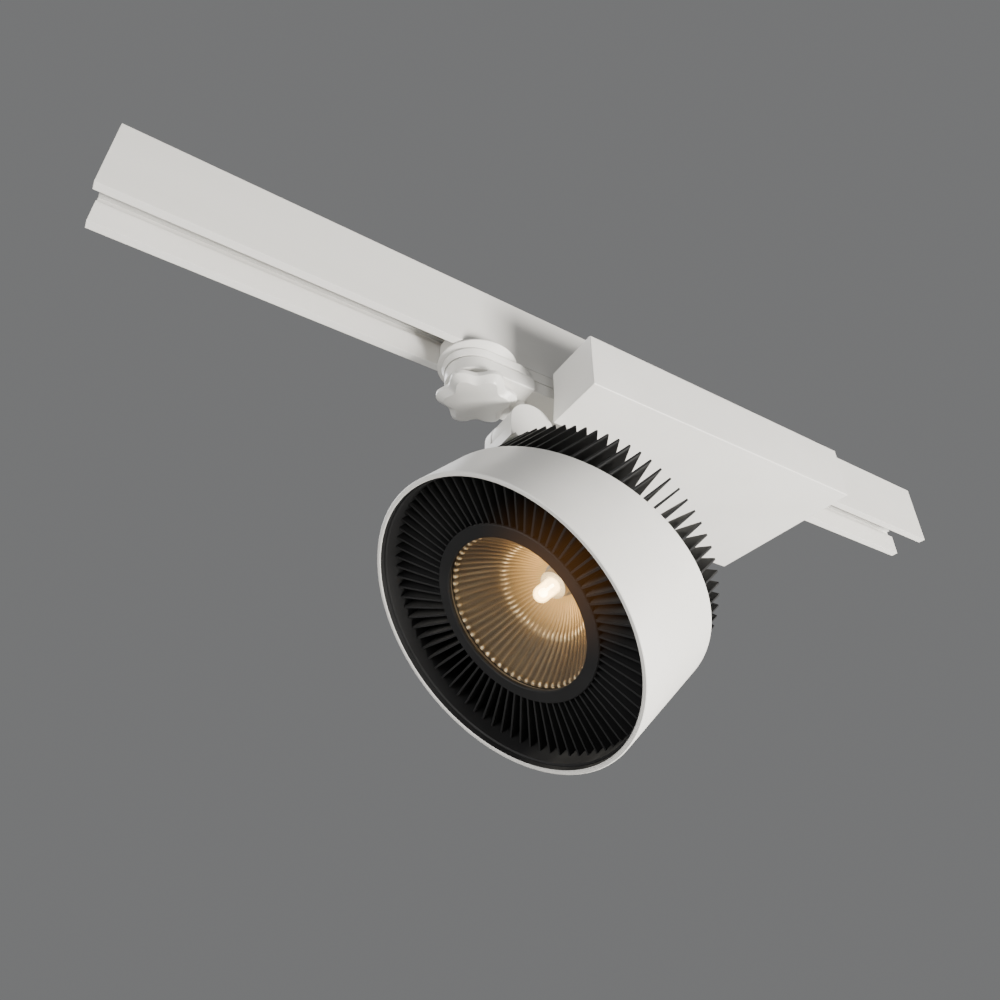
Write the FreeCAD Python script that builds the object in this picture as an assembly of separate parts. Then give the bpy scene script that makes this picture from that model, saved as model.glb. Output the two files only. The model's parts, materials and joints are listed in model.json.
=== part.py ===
"""Track spotlight on its length of ceiling track, as an assembly of separate pieces.

Frame: the origin is the centre of the track's flat top, which meets the ceiling.
+X runs along the track, +Z points up, so the whole object hangs below Z = 0.
The lamp head is drawn in its own frame (see HEAD below) and tilted into place.
Units are millimetres.
"""

import math
import os

import FreeCAD
import Part

V = FreeCAD.Vector
UP = V(0, 0, 1)
ACROSS = V(0, 1, 0)

# ---------------------------------------------------------------- driving dimensions
# Ceiling track: a channel that opens downwards
TRACK_LENGTH = 738.0
TRACK_WIDTH = 36.0
TRACK_HEIGHT = 57.0
TRACK_TOP_WALL = 3.0
TRACK_SLOT_HALF = 12.0
TRACK_CAVITY_HALF = 15.5
TRACK_LIP_HEIGHT = 19.0
CEILING_HOLE_D = 5.0
CEILING_HOLE_X = 300.0
INSULATOR_FACE = 12.8
INSULATOR_TOP = -6.0
INSULATOR_HEIGHT = 25.0
CONDUCTOR_LEVELS = (-12.5, -24.5)
CONDUCTOR_WIDTH = 3.0
CONDUCTOR_DEPTH = 1.4
CONDUCTOR_RECESS = 0.6
CONDUCTOR_SETBACK = 2.0

# Carriage: what slides along the track
RUN_GAP = 0.4
KNOB_X = -113.5
PAN_X = -79.0
SPINE_START = -138.0
SPINE_END = 172.0
SPINE_HALF = 11.6
HOOK_START = 128.0
HOOK_LENGTH = 24.0
HOOK_HALF = 14.8
HOOK_THICK = 4.5
DISC_R = 28.4
DISC_RIM = 1.0
DISC_FOOT_R = 23.0
DISC_THICK = 4.2
ROUND_END_X = -116.5
PLATE_TOP_HALF = 22.6
PLATE_FOOT_HALF = 20.6
PLATE_THICK = 4.4
PLATE_SHOULDER_X = -91.0
PLATE_WAIST_X = -80.0
GROOVE = 0.8
NECK_WIDE_HALF = 20.0
NECK_WIDE_END = -78.5
NECK_HALF = 18.0
NECK_STEP = 1.0
NECK_THICK = 11.3
TAIL_START = -84.0

# Gear housing: the wide flat box behind the neck
BOX_START = -64.0
BOX_LENGTH = 246.0
BOX_HALF = 67.0
BOX_HEIGHT = 43.2
BOX_WALL = 2.5
BOX_EDGE = 0.6
NOTCH_HALF = 22.8
NOTCH_FOOT_HALF = 20.4
NOTCH_DEPTH = 16.0

# Locking knob
KNOB_BOTTOM = -89.9
KNOB_LOBES = 6
KNOB_PHASE = -28.5
KNOB_TIP_R = 28.0
KNOB_VALLEY_R = 22.4
KNOB_RIM_LOW = -86.0
KNOB_RIM_HIGH = -83.0
KNOB_FOOT_TIP_R = 23.4
KNOB_FOOT_VALLEY_R = 18.0
KNOB_NECK_TIP_R = 20.0
KNOB_NECK_VALLEY_R = 18.0
KNOB_EDGE = 0.8
SPINDLE_D = 10.0
WING_HALF = 14.4
WING_WIDTH = 9.0
WING_THICK = 5.0
ROTOR_R = 9.0
FINGER_REACH = 13.1

# Pan swivel and tilt hinge
TILT_Z = -107.5
STEM_R = 6.0
KNUCKLE_HALF = 9.0
KNUCKLE_R = 17.0
YOKE_HALF = 17.5
YOKE_R = 17.3
CHEEK_GAP = 0.3
TILT_BOLT_D = 8.0
TILT_BUSH_D = 12.0
TILT_HEAD_D = 13.0
TILT_HEAD_H = 4.0
FIT = 0.05
PAN_BOLT_D = 10.0
NECK_GAP = 0.4

# HEAD: drawn with its front rim in the plane Z = 0, its axis along +Z towards
# the back, and the tilt hinge on its -X side.
HEAD_TILT = 45.65
HINGE_OFFSET = 93.34
HINGE_DEPTH = 115.56
RING_R = 97.8
RING_WALL = 3.0
RING_BACK = 60.6
RING_BACK_SLANT = 22.5
RING_EDGE = 0.6
LINER_START = 4.0
LINER_WALL = 1.4
LINER_EDGE = 0.8
LINER_SETBACK = 2.0
FIN_COUNT = 75
FIN_THICK = 1.3
FIN_ROOT_LAP = 1.5
FIN_FRONT_OUTER = 11.9
FIN_FRONT_INNER = 17.5
FIN_BACK = 96.5
CORE_R = 58.0
CORE_WALL = 3.5
CORE_FLOOR = 8.0
COLLAR_FACE = 16.3
COLLAR_R = 59.4
COLLAR_HOLE_R = 51.0
COLLAR_THICK = 2.4
COLLAR_EDGE = 0.6
COLLAR_SEAT_PLAY = 0.1
COLLAR_PINS = 3
COLLAR_PIN_START = 60.0
COLLAR_PIN_CIRCLE = 56.2
COLLAR_PIN_R = 1.0
COLLAR_PIN_FRONT = 1.4
COLLAR_PIN_BACK = 8.0
GLASS_R = 53.0
GLASS_THICK = 3.0
REFLECTOR_MOUTH_R = 52.0
REFLECTOR_THROAT_R = 13.0
REFLECTOR_DEPTH = 44.0
REFLECTOR_WALL = 1.2
REFLECTOR_STEPS = 10
ARM_HALF = 17.5
ARM_THICK = 12.0

# ---------------------------------------------------------------- derived sizes
RUN_LEVEL = -TRACK_HEIGHT - RUN_GAP
LIP_TOP = -TRACK_HEIGHT + TRACK_LIP_HEIGHT
DISC_BOTTOM = RUN_LEVEL - DISC_THICK
PLATE_BOTTOM = DISC_BOTTOM - PLATE_THICK
NECK_BOTTOM = PLATE_BOTTOM - NECK_THICK
BOX_BOTTOM = RUN_LEVEL - BOX_HEIGHT
BOX_END = BOX_START + BOX_LENGTH
NOTCH_END = BOX_START + NOTCH_DEPTH
LID_THICK = 2.5
LID_BOTTOM = RUN_LEVEL - LID_THICK
FLOOR_TOP = BOX_BOTTOM + BOX_WALL
LINER_R = RING_R - RING_WALL
LINER_IN_R = LINER_R - LINER_WALL
BORE_D = SPINDLE_D + 2 * FIT
GLASS_FRONT = COLLAR_FACE + COLLAR_THICK
REFLECTOR_START = GLASS_FRONT + GLASS_THICK
CORE_INNER_R = CORE_R - CORE_WALL
FLOOR_DEPTH = REFLECTOR_START + REFLECTOR_DEPTH + 8.0
OVERSHOOT = 5.0


# ---------------------------------------------------------------- shape helpers
def box(x0, x1, y0, y1, z0, z1):
    return Part.makeBox(x1 - x0, y1 - y0, z1 - z0, V(x0, y0, z0))


def rod(x, y, z0, z1, radius):
    return Part.makeCylinder(radius, z1 - z0, V(x, y, z0), UP)


def tube(x, y, z0, z1, outer, inner):
    return rod(x, y, z0, z1, outer).cut(rod(x, y, z0, z1, inner))


def rod_x(x0, x1, y, z, radius):
    return Part.makeCylinder(radius, x1 - x0, V(x0, y, z), V(1, 0, 0))


def pin_y(x, z, y0, y1, radius):
    return Part.makeCylinder(radius, y1 - y0, V(x, y0, z), ACROSS)


def polygon_prism(points, z0, z1):
    corners = [V(x, y, z0) for x, y in points]
    wire = Part.makePolygon(corners + corners[:1])
    return Part.Face(wire).extrude(V(0, 0, z1 - z0))


def turned(profile, x=0.0, y=0.0):
    """Solid of revolution about the vertical through (x, y) from (radius, z) pairs."""
    corners = [V(x + r, y, z) for r, z in profile]
    wire = Part.makePolygon(corners + corners[:1])
    return Part.Face(wire).revolve(V(x, y, 0), UP, 360)


def fuse(shapes):
    body = shapes[0].multiFuse(shapes[1:]) if len(shapes) > 1 else shapes[0]
    return body.removeSplitter()


def cut(shape, tools):
    for tool in tools:
        shape = shape.cut(tool)
    return shape


def group(shapes):
    return Part.makeCompound(shapes)


SLOT_HALF = 0.4
SLOT_DEPTH = 0.9


def pan_screw(x, y, z_top, length, shank, head_r, head_h):
    """Screw driven upwards: its head is at the bottom, its tip at z_top."""
    z_head = z_top - length
    z_end = z_head - head_h
    body = rod(x, y, z_head, z_top, shank)
    head = rod(x, y, z_end, z_head, head_r)
    slot = box(x - head_r, x + head_r, y - SLOT_HALF, y + SLOT_HALF, z_end, z_end + SLOT_DEPTH)
    return body.fuse(head).cut(slot)


def hex_prism(x, y, z0, z1, across_flats):
    radius = across_flats / math.sqrt(3)
    points = []
    for k in range(6):
        angle = math.radians(60 * k)
        points.append((x + radius * math.cos(angle), y + radius * math.sin(angle)))
    return polygon_prism(points, z0, z1)


def tilted(shape):
    """Takes a shape from the head's own frame to its place under the hinge."""
    placed = shape.copy()
    hinge = V(-HINGE_OFFSET, 0, HINGE_DEPTH)
    placed.translate(V(PAN_X, 0, TILT_Z) - hinge)
    placed.rotate(V(PAN_X, 0, TILT_Z), ACROSS, HEAD_TILT)
    return placed


# ---------------------------------------------------------------- ceiling track
def track_profile():
    half = TRACK_LENGTH / 2
    outer = box(-half, half, -TRACK_WIDTH / 2, TRACK_WIDTH / 2, -TRACK_HEIGHT, 0)
    slot = box(-half, half, -TRACK_SLOT_HALF, TRACK_SLOT_HALF, -TRACK_HEIGHT, LIP_TOP)
    cavity = box(-half, half, -TRACK_CAVITY_HALF, TRACK_CAVITY_HALF, LIP_TOP, -TRACK_TOP_WALL)
    holes = []
    for side in (-1, 1):
        holes.append(rod(side * CEILING_HOLE_X, 0, -TRACK_TOP_WALL, 0, CEILING_HOLE_D / 2))
    return cut(outer, [slot, cavity] + holes)


def insulator(side):
    half = TRACK_LENGTH / 2
    bottom = INSULATOR_TOP - INSULATOR_HEIGHT
    y0, y1 = sorted((side * INSULATOR_FACE, side * TRACK_CAVITY_HALF))
    strip = box(-half, half, y0, y1, bottom, INSULATOR_TOP)
    depth = CONDUCTOR_RECESS + CONDUCTOR_DEPTH
    g0, g1 = sorted((side * INSULATOR_FACE, side * (INSULATOR_FACE + depth)))
    grooves = []
    for level in CONDUCTOR_LEVELS:
        low = level - CONDUCTOR_WIDTH / 2
        grooves.append(box(-half, half, g0, g1, low, low + CONDUCTOR_WIDTH))
    return cut(strip, grooves)


def conductor(side, level):
    half = TRACK_LENGTH / 2 - CONDUCTOR_SETBACK
    near = INSULATOR_FACE + CONDUCTOR_RECESS
    y0, y1 = sorted((side * near, side * (near + CONDUCTOR_DEPTH)))
    low = level - CONDUCTOR_WIDTH / 2
    return box(-half, half, y0, y1, low, low + CONDUCTOR_WIDTH)


# ---------------------------------------------------------------- carriage
ADAPTER_SCREWS = [(KNOB_X - 10, 7), (KNOB_X - 10, -7), (KNOB_X + 13, 7), (KNOB_X + 13, -7)]
ADAPTER_SCREW_SHANK = 1.5
ADAPTER_SCREW_HEAD = 2.8
ADAPTER_SCREW_TIP = RUN_LEVEL + 8.0
ADAPTER_HEAD_LEVEL = NECK_BOTTOM + 2.8
ADAPTER_HEAD_H = 2.4
ADAPTER_COUNTERBORE = 3.0
RUNNER_TOP = LIP_TOP - 0.6
LID_SCREW_X = (-20.0, 60.0, 140.0)
LID_SCREW_SHANK = 1.6
LID_SCREW_HEAD = 3.0
LID_SCREW_HEAD_H = 2.2
LID_SCREW_TIP = RUN_LEVEL + 9.0
TAIL_ROOT_X = -90.0
PLATE_LAP = 1.0
NECK_CORE_HALF = 17.0
NECK_EDGE = 0.8
NECK_TAIL_X = -83.5
DETENT_X = KNOB_X - 8.5
DETENT_R = 1.5
DETENT_DEPTH = 10.0
SPRING_WIRE_R = 0.22
SPRING_COIL_R = 1.1
SPRING_PITCH = 0.8
SPRING_LENGTH = 7.2
SPRING_START = 2.6
BALL_R = 1.4
BALL_CENTRE = 1.1
PAN_HEAD_FLATS = 10.0
PAN_HEAD_H = 5.0
PAN_WASHER_R = 5.8
PAN_WASHER_T = 1.2
PAN_THREAD_D = 7.0
PAN_THREAD_L = 9.0
PAN_POCKET_R = 8.8
BUSH_R = 6.2
STOP_RADIUS = 7.3
STOP_PIN_R = 0.9
STOP_PIN_DEPTH = 5.0
STOP_PIN_STAND = 1.0
STOP_TAB_HALF = 1.2
STOP_TAB_LAP = 0.7
NECK_SCREW_Y = (-13.0, 13.0)
NECK_SCREW_Z = -71.5
NECK_SCREW_SHANK = 1.6
NECK_SCREW_L = 9.0
NECK_SCREW_HEAD = 3.0
NECK_SCREW_HEAD_H = 2.2


def adapter_spine():
    """Plastic runner in the track's slot, with a tail hook that rides on the lips."""
    hook_end = HOOK_START + HOOK_LENGTH
    hook_level = LIP_TOP + RUN_GAP
    runner = box(SPINE_START, SPINE_END, -SPINE_HALF, SPINE_HALF, RUN_LEVEL, RUNNER_TOP)
    stem = box(HOOK_START, hook_end, -SPINE_HALF, SPINE_HALF, RUNNER_TOP, hook_level)
    hook = box(HOOK_START, hook_end, -HOOK_HALF, HOOK_HALF, hook_level, hook_level + HOOK_THICK)
    body = fuse([runner, stem, hook])
    holes = [rod(KNOB_X, 0, RUN_LEVEL, LIP_TOP, BORE_D / 2)]
    for x, y in ADAPTER_SCREWS:
        holes.append(rod(x, y, RUN_LEVEL, ADAPTER_SCREW_TIP, ADAPTER_SCREW_SHANK))
    for x in LID_SCREW_X:
        holes.append(rod(x, 0, RUN_LEVEL, LID_SCREW_TIP, LID_SCREW_SHANK))
    return cut(body, holes)


def base_disc():
    """Disc against the track's underside, coned in towards the plate below it."""
    disc = turned([(0, DISC_BOTTOM), (DISC_FOOT_R, DISC_BOTTOM),
                   (DISC_R, RUN_LEVEL - DISC_RIM), (DISC_R, RUN_LEVEL), (0, RUN_LEVEL)], KNOB_X)
    holes = [rod(KNOB_X, 0, DISC_BOTTOM, RUN_LEVEL, BORE_D / 2), pan_pocket()]
    for x, y in ADAPTER_SCREWS:
        holes.append(rod(x, y, DISC_BOTTOM, RUN_LEVEL, ADAPTER_SCREW_SHANK))
    return cut(disc, holes)


def pan_pocket():
    """Room above the neck for the pan bolt's head and its stop."""
    return rod(PAN_X, 0, PLATE_BOTTOM, RUN_LEVEL + OVERSHOOT, PAN_POCKET_R)


def plate_outline(half, waist, z):
    """Round-ended outline that narrows from a half width to a waist."""
    start = V(ROUND_END_X, half, z)
    finish = V(ROUND_END_X, -half, z)
    nose = Part.Arc(start, V(ROUND_END_X - half, 0, z), finish).toShape()
    corners = [finish, V(PLATE_SHOULDER_X, -half, z), V(PLATE_WAIST_X, -waist, z),
               V(PLATE_WAIST_X, waist, z), V(PLATE_SHOULDER_X, half, z), start]
    sides = [Part.makeLine(a, b) for a, b in zip(corners, corners[1:])]
    return Part.Wire([nose] + sides)


def base_plate():
    """Plate under the disc with slightly drawn-in sides, and its tail to the housing."""
    top = plate_outline(PLATE_TOP_HALF, NECK_HALF, DISC_BOTTOM)
    foot = plate_outline(PLATE_FOOT_HALF, NECK_HALF, PLATE_BOTTOM)
    plate = Part.makeLoft([top, foot], True, True)
    low_tail = box(PLATE_WAIST_X - PLATE_LAP, NOTCH_END, -NECK_HALF, NECK_HALF,
                   PLATE_BOTTOM, DISC_BOTTOM)
    tail = box(TAIL_ROOT_X, NOTCH_END, -NECK_HALF, NECK_HALF, DISC_BOTTOM, RUN_LEVEL)
    tail = tail.cut(rod(KNOB_X, 0, DISC_BOTTOM, RUN_LEVEL, TAIL_START - KNOB_X))
    body = fuse([plate, low_tail, tail])
    holes = [rod(KNOB_X, 0, PLATE_BOTTOM, DISC_BOTTOM, BORE_D / 2), pan_pocket()]
    for x, y in ADAPTER_SCREWS:
        holes.append(rod(x, y, PLATE_BOTTOM, DISC_BOTTOM, ADAPTER_SCREW_SHANK))
    return cut(body, holes)


def neck_bar():
    """Bar that carries the knob at one end and the housing at the other."""
    shoulder = PLATE_BOTTOM - GROOVE
    shallow = NECK_BOTTOM + NECK_STEP
    core = fuse([box(ROUND_END_X, NOTCH_END, -NECK_CORE_HALF, NECK_CORE_HALF,
                     shoulder, PLATE_BOTTOM),
                 rod(ROUND_END_X, 0, shoulder, PLATE_BOTTOM, NECK_HALF)])
    wide = fuse([box(ROUND_END_X, NECK_WIDE_END, -NECK_WIDE_HALF, NECK_WIDE_HALF,
                     NECK_BOTTOM, shoulder),
                 rod(ROUND_END_X, 0, NECK_BOTTOM, shoulder, NECK_WIDE_HALF)])
    lower = [e for e in wide.Edges if e.BoundBox.ZMax < NECK_BOTTOM + 0.1]
    wide = wide.makeFillet(NECK_EDGE, lower)
    tail = box(NECK_TAIL_X, NOTCH_END, -NECK_HALF, NECK_HALF, shallow, shoulder)
    body = fuse([core, wide, tail])
    holes = [rod(KNOB_X, 0, NECK_BOTTOM, PLATE_BOTTOM, BORE_D / 2),
             rod(DETENT_X, 0, NECK_BOTTOM, NECK_BOTTOM + DETENT_DEPTH, DETENT_R),
             rod(PAN_X, 0, NECK_BOTTOM, PLATE_BOTTOM, BUSH_R),
             rod(PAN_X - STOP_RADIUS, 0, PLATE_BOTTOM - STOP_PIN_DEPTH, PLATE_BOTTOM, STOP_PIN_R)]
    for x, y in ADAPTER_SCREWS:
        holes.append(rod(x, y, NECK_BOTTOM, PLATE_BOTTOM, ADAPTER_SCREW_SHANK))
        holes.append(rod(x, y, NECK_BOTTOM, NECK_BOTTOM + ADAPTER_COUNTERBORE,
                         ADAPTER_SCREW_HEAD))
    for y in NECK_SCREW_Y:
        holes.append(rod_x(NOTCH_END - NECK_SCREW_L, NOTCH_END, y, NECK_SCREW_Z, NECK_SCREW_SHANK))
    return cut(body, holes)


def adapter_screws():
    length = ADAPTER_SCREW_TIP - ADAPTER_HEAD_LEVEL
    return group([pan_screw(x, y, ADAPTER_SCREW_TIP, length, ADAPTER_SCREW_SHANK,
                            ADAPTER_SCREW_HEAD, ADAPTER_HEAD_H) for x, y in ADAPTER_SCREWS])


def neck_screws():
    """Two screws from inside the housing into the end of the neck."""
    wall = NOTCH_END + BOX_WALL
    screws = []
    for y in NECK_SCREW_Y:
        shank = rod_x(NOTCH_END - NECK_SCREW_L, wall, y, NECK_SCREW_Z, NECK_SCREW_SHANK)
        head = rod_x(wall, wall + NECK_SCREW_HEAD_H, y, NECK_SCREW_Z, NECK_SCREW_HEAD)
        screws.append(shank.fuse(head))
    return group(screws)


def pan_bush():
    return tube(PAN_X, 0, NECK_BOTTOM, PLATE_BOTTOM, BUSH_R, PAN_BOLT_D / 2 + FIT)


def stop_pin():
    top = PLATE_BOTTOM + PAN_WASHER_T + STOP_PIN_STAND
    return rod(PAN_X - STOP_RADIUS, 0, PLATE_BOTTOM - STOP_PIN_DEPTH, top, STOP_PIN_R)


def detent_spring():
    """Coil spring that presses the ball on the knob's top face, drawn as turns of wire."""
    helix = Part.makeHelix(SPRING_PITCH, SPRING_LENGTH, SPRING_COIL_R)
    section = Part.Wire(Part.makeCircle(SPRING_WIRE_R, V(SPRING_COIL_R, 0, 0), ACROSS))
    coil = helix.makePipeShell([section], True, False)
    coil.translate(V(DETENT_X, 0, NECK_BOTTOM + SPRING_START))
    return coil


def detent_ball():
    return Part.makeSphere(BALL_R, V(DETENT_X, 0, NECK_BOTTOM + BALL_CENTRE))


# ---------------------------------------------------------------- gear housing
def notch_tool(grow, z0, z1):
    """The notch in the housing's end: upright at the neck, drawn in a little below it."""
    half = NOTCH_HALF + grow
    foot = NOTCH_FOOT_HALF + grow
    above = RUN_LEVEL + OVERSHOOT
    below = BOX_BOTTOM - OVERSHOOT
    start = BOX_START - OVERSHOOT
    points = [(-foot, BOX_BOTTOM), (-half, NECK_BOTTOM), (-half, above), (half, above),
              (half, NECK_BOTTOM), (foot, BOX_BOTTOM), (foot, below), (-foot, below)]
    corners = [V(start, y, z) for y, z in points]
    face = Part.Face(Part.makePolygon(corners + corners[:1]))
    prism = face.extrude(V(NOTCH_END + grow - start, 0, 0))
    return prism.common(box(start, BOX_END, -BOX_HALF, BOX_HALF, z0, z1))


def housing_tray():
    outer = box(BOX_START, BOX_END, -BOX_HALF, BOX_HALF, BOX_BOTTOM, RUN_LEVEL)
    edges = [e for e in outer.Edges if e.BoundBox.ZMax < BOX_BOTTOM + 0.1
             or e.BoundBox.ZLength > BOX_HEIGHT - 1]
    outer = outer.makeFillet(BOX_EDGE, edges)
    inner = box(BOX_START + BOX_WALL, BOX_END - BOX_WALL, -BOX_HALF + BOX_WALL,
                BOX_HALF - BOX_WALL, FLOOR_TOP, RUN_LEVEL)
    below = BOX_BOTTOM - OVERSHOOT
    above = RUN_LEVEL + OVERSHOOT
    inner = inner.cut(notch_tool(BOX_WALL, below, above))
    tray = outer.cut(inner).cut(notch_tool(0, below, above))
    return cut(tray, [rod_x(NOTCH_END, NOTCH_END + BOX_WALL, y, NECK_SCREW_Z, NECK_SCREW_SHANK)
                      for y in NECK_SCREW_Y])


VENT_COUNT = 9
VENT_PITCH = 9.0
VENT_FIRST = 20.0
VENT_NEAR_Y = 32.0
VENT_FAR_Y = 56.0
VENT_HALF = 1.6
VENT_END_R = 1.55
LID_INSET = BOX_WALL + 0.15


def housing_lid():
    plate = box(BOX_START + LID_INSET, BOX_END - LID_INSET, -BOX_HALF + LID_INSET,
                BOX_HALF - LID_INSET, LID_BOTTOM, RUN_LEVEL)
    plate = plate.cut(notch_tool(LID_INSET, LID_BOTTOM - OVERSHOOT, RUN_LEVEL + OVERSHOOT))
    holes = []
    for x in LID_SCREW_X:
        holes.append(rod(x, 0, LID_BOTTOM, RUN_LEVEL, LID_SCREW_SHANK))
    for side in (-1, 1):
        for k in range(VENT_COUNT):
            x = VENT_FIRST + k * VENT_PITCH
            y0, y1 = sorted((side * VENT_NEAR_Y, side * VENT_FAR_Y))
            slot = box(x - VENT_HALF, x + VENT_HALF, y0, y1, LID_BOTTOM - OVERSHOOT,
                       RUN_LEVEL + OVERSHOOT)
            ends = [e for e in slot.Edges if e.BoundBox.ZLength > LID_THICK]
            holes.append(slot.makeFillet(VENT_END_R, ends))
    return cut(plate, holes)


def lid_screws():
    length = LID_SCREW_TIP - LID_BOTTOM
    return group([pan_screw(x, 0, LID_SCREW_TIP, length, LID_SCREW_SHANK, LID_SCREW_HEAD,
                            LID_SCREW_HEAD_H) for x in LID_SCREW_X])


BOARD_X0 = -25.0
BOARD_X1 = 66.0
BOARD_Y0 = 10.0
BOARD_Y1 = 60.0
BOARD_LEVEL = FLOOR_TOP + 6.0
BOARD_THICK = 1.6
BOARD_TOP = BOARD_LEVEL + BOARD_THICK
BOARD_INSET = 5.0
BOARD_HOLE_R = 1.6
BOARD_HOLES = [(x, y) for x in (BOARD_X0 + BOARD_INSET, BOARD_X1 - BOARD_INSET)
               for y in (BOARD_Y0 + BOARD_INSET, BOARD_Y1 - BOARD_INSET)]
POST_R = 3.0
BOARD_SCREW_R = 1.3
BOARD_SCREW_DEPTH = 4.0
BOARD_SCREW_HEAD = 2.6
BOARD_SCREW_HEAD_H = 2.0


def control_board():
    plate = box(BOARD_X0, BOARD_X1, BOARD_Y0, BOARD_Y1, BOARD_LEVEL, BOARD_TOP)
    return cut(plate, [rod(x, y, BOARD_LEVEL, BOARD_TOP, BOARD_HOLE_R) for x, y in BOARD_HOLES])


def board_posts():
    return group([tube(x, y, FLOOR_TOP, BOARD_LEVEL, POST_R, BOARD_SCREW_R)
                  for x, y in BOARD_HOLES])


def board_screws():
    screws = []
    for x, y in BOARD_HOLES:
        shank = rod(x, y, BOARD_LEVEL - BOARD_SCREW_DEPTH, BOARD_TOP, BOARD_SCREW_R)
        head = rod(x, y, BOARD_TOP, BOARD_TOP + BOARD_SCREW_HEAD_H, BOARD_SCREW_HEAD)
        screws.append(shank.fuse(head))
    return group(screws)


# Parts in the housing, each as (x from, x to, y from, y to, height above its base)
TRANSFORMER = (-8.0, 12.0, 22.0, 42.0, 14.0)
RELAY = (22.0, 34.0, 24.0, 40.0, 10.0)
CHOKE_CORE = (90.0, 168.0, -30.0, 20.0, 30.0)
IGNITER = (-20.0, 40.0, -60.0, -34.0, 27.0)
TERMINALS = (52.0, 78.0, -60.0, -42.0, 16.0)
BUTTON_X = (42.0, 52.0)
BUTTON_Y = 30.0
BUTTON_R = 4.0
BUTTON_H = 12.0
WINDING_DEPTH = 6.0
WINDING_INSET = 8.0
WINDING_LIFT = 4.0
CAN_R = 13.0
CAN_X = 95.0
CAN_Y = 44.0
CAN_LENGTH = 72.0
IGNITER_EDGE = 3.0
TERMINAL_COUNT = 3
TERMINAL_FIRST_X = 57.0
TERMINAL_PITCH = 8.0
TERMINAL_BORE_R = 1.8
TERMINAL_SCREW_R = 1.6
TERMINAL_BORE_LIFT = 6.0


def block(sizes, base):
    x0, x1, y0, y1, height = sizes
    return box(x0, x1, y0, y1, base, base + height)


def board_parts():
    """Transformer, relay and two cans standing on the control board."""
    parts = [block(TRANSFORMER, BOARD_TOP), block(RELAY, BOARD_TOP)]
    for x in BUTTON_X:
        parts.append(rod(x, BUTTON_Y, BOARD_TOP, BOARD_TOP + BUTTON_H, BUTTON_R))
    return group(parts)


def choke_block():
    """Ballast choke: laminated core with its winding, on the housing floor."""
    x0, x1, y0, y1, height = CHOKE_CORE
    y0 += WINDING_INSET
    y1 -= WINDING_INSET
    low = FLOOR_TOP + WINDING_LIFT
    high = FLOOR_TOP + height - WINDING_LIFT
    return fuse([block(CHOKE_CORE, FLOOR_TOP), box(x0 - WINDING_DEPTH, x0, y0, y1, low, high),
                 box(x1, x1 + WINDING_DEPTH, y0, y1, low, high)])


def capacitor_can():
    return rod_x(CAN_X, CAN_X + CAN_LENGTH, CAN_Y, FLOOR_TOP + CAN_R, CAN_R)


def igniter():
    body = block(IGNITER, FLOOR_TOP)
    edges = [e for e in body.Edges if e.BoundBox.ZLength > IGNITER_EDGE]
    return body.makeFillet(IGNITER_EDGE, edges)


def terminal_block():
    body = block(TERMINALS, FLOOR_TOP)
    y0, y1 = TERMINALS[2:4]
    bore_z = FLOOR_TOP + TERMINAL_BORE_LIFT
    holes = []
    for k in range(TERMINAL_COUNT):
        x = TERMINAL_FIRST_X + k * TERMINAL_PITCH
        holes.append(pin_y(x, bore_z, y0, y1, TERMINAL_BORE_R))
        holes.append(rod(x, (y0 + y1) / 2, bore_z, FLOOR_TOP + TERMINALS[4], TERMINAL_SCREW_R))
    return cut(body, holes)


# ---------------------------------------------------------------- locking knob
KNOB_TOP = NECK_BOTTOM - 0.5
KNOB_BORE_BOTTOM = KNOB_BOTTOM + 3.0
POINTS_PER_LOBE = 8
SET_SCREW_TURN = 90.0
SET_SCREW_R = 1.5
SET_SCREW_Z = KNOB_TOP - 3.0
SET_SCREW_L = 11.0
SPINDLE_HEAD_R = 4.0
WING_BOTTOM = LIP_TOP + RUN_GAP
WING_CORNER_R = 2.0
ROTOR_BOTTOM = WING_BOTTOM + WING_THICK
ROTOR_TOP = -8.5
FINGER_ROOT = 4.5
FINGER_HALF = 1.5
FINGER_HALF_THICK = 1.0


def knob_outline(tip, valley, z):
    """Closed wavy outline: one lobe for every turn of the cosine."""
    mean = (tip + valley) / 2
    swing = (tip - valley) / 2
    count = POINTS_PER_LOBE * KNOB_LOBES
    points = []
    for k in range(count):
        angle = 2 * math.pi * k / count
        radius = mean + swing * math.cos(KNOB_LOBES * angle)
        heading = angle + math.radians(KNOB_PHASE)
        points.append(V(KNOB_X + radius * math.cos(heading), radius * math.sin(heading), z))
    curve = Part.BSplineCurve()
    curve.interpolate(points, PeriodicFlag=True)
    return Part.Wire(curve.toShape())


def locking_knob():
    """Six-lobed hand knob: it flares from a round neck to its rim and tapers to its foot."""
    levels = [(KNOB_FOOT_TIP_R - KNOB_EDGE, KNOB_FOOT_VALLEY_R - KNOB_EDGE, KNOB_BOTTOM),
              (KNOB_FOOT_TIP_R, KNOB_FOOT_VALLEY_R, KNOB_BOTTOM + KNOB_EDGE),
              (KNOB_TIP_R, KNOB_VALLEY_R, KNOB_RIM_LOW),
              (KNOB_TIP_R, KNOB_VALLEY_R, KNOB_RIM_HIGH),
              (KNOB_NECK_TIP_R, KNOB_NECK_VALLEY_R, KNOB_TOP)]
    wires = [knob_outline(*level) for level in levels]
    body = Part.makeLoft(wires, True, True)
    return cut(body, [rod(KNOB_X, 0, KNOB_BORE_BOTTOM, KNOB_TOP, SPINDLE_D / 2),
                      set_screw_tool(SPINDLE_D / 2, KNOB_TIP_R)])


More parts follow.
